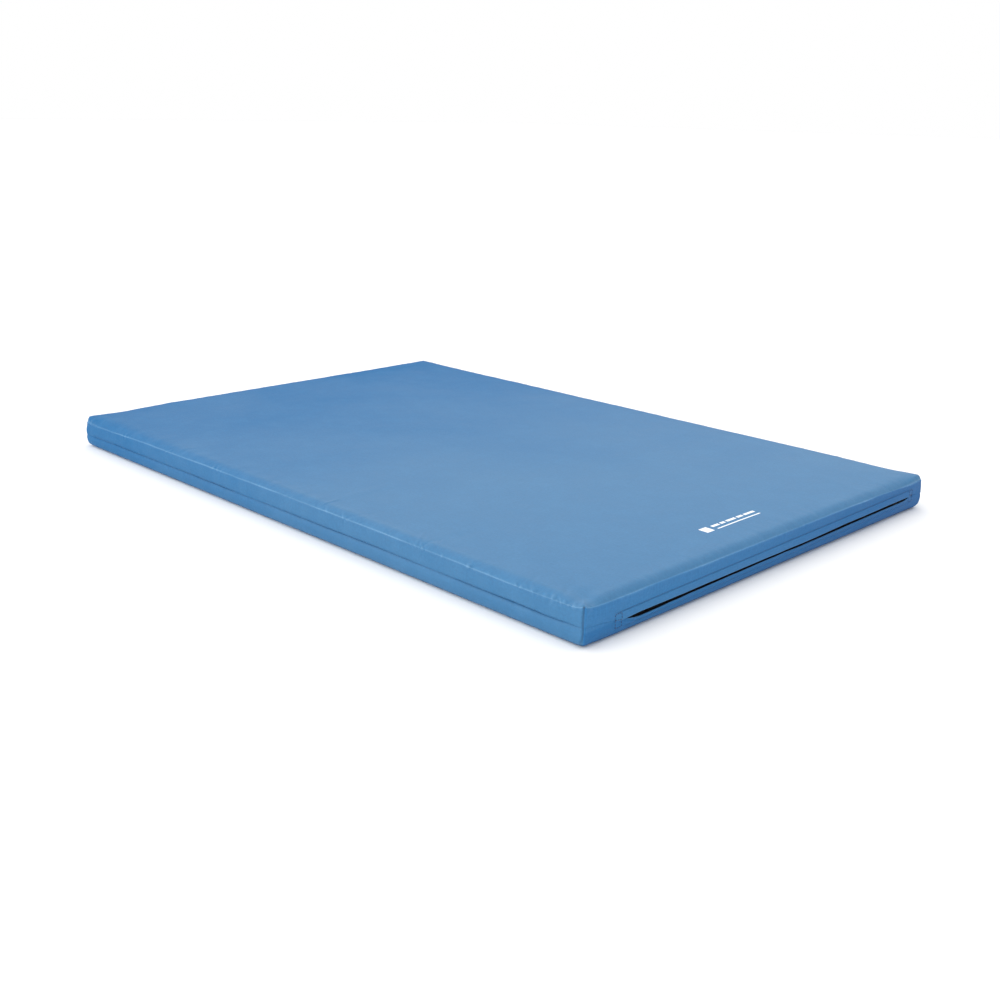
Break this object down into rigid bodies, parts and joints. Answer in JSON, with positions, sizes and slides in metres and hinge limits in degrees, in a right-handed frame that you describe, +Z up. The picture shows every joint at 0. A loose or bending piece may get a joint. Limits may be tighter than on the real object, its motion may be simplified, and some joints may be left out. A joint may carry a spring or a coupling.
{
  "type": "gym mat",
  "caption": "Flat rectangular gym mat: a foam block in a blue coated-fabric cover, closed along one short side by a zip under a narrow flap.",
  "frame": {"origin": "centre of the flat underside, on the surface the mat lies on", "axes": "+X along the length towards the zipped short side, +Y across the width, +Z up through the thickness"},
  "size_m": [1.5026, 1, 0.0683],
  "materials": {
    "cover_cloth": "satin",
    "foam": "matte",
    "thread": "satin",
    "zip_tape": "matte",
    "zip_coil": "satin",
    "zip_metal": "satin",
    "print_ink": "matte"
  },
  "bodies": {
    "mat": {"cover_top": "cover_cloth", "cover_bottom": "cover_cloth", "foam_core": "foam", "girth_seam_thread": "thread", "corner_seam_threads": "thread", "zip_tape_upper": "zip_tape", "zip_tape_lower": "zip_tape", "zip_coil_upper": "zip_coil", "zip_coil_lower": "zip_coil", "zip_top_stops": "zip_metal", "zip_bottom_stop": "zip_metal", "zip_stitch_upper": "thread", "zip_stitch_lower": "thread", "flap_ends": "cover_cloth", "flap_top_stitch": "thread", "lip_stitch": "thread", "box_stitch_near": "thread", "box_stitch_far": "thread", "print_mark": "print_ink"},
    "flap": {"zip_flap": "cover_cloth"},
    "slider": {"zip_slider_body": "zip_metal", "zip_slider_bridge": "zip_metal"},
    "pull_tab": {"zip_pull_tab": "zip_metal"}
  },
  "joints": [
    {"name": "flap_lift", "type": "hinge", "parent": "mat", "child": "flap", "pos_m": [0.7513, -0.00014, 0.041], "axis": [0, -0.9999, -0.0101], "range_deg": [0, 100]},
    {"name": "slider_travel", "type": "slide", "parent": "mat", "child": "slider", "axis": [0, -0.9999, -0.0101], "range_m": [0, 0.752]},
    {"name": "pull_swing", "type": "hinge", "parent": "slider", "child": "pull_tab", "pos_m": [0.7494, 0.40998, 0.03115], "axis": [0, -0.0101, 0.9999], "range_deg": [0, 150]}
  ]
}
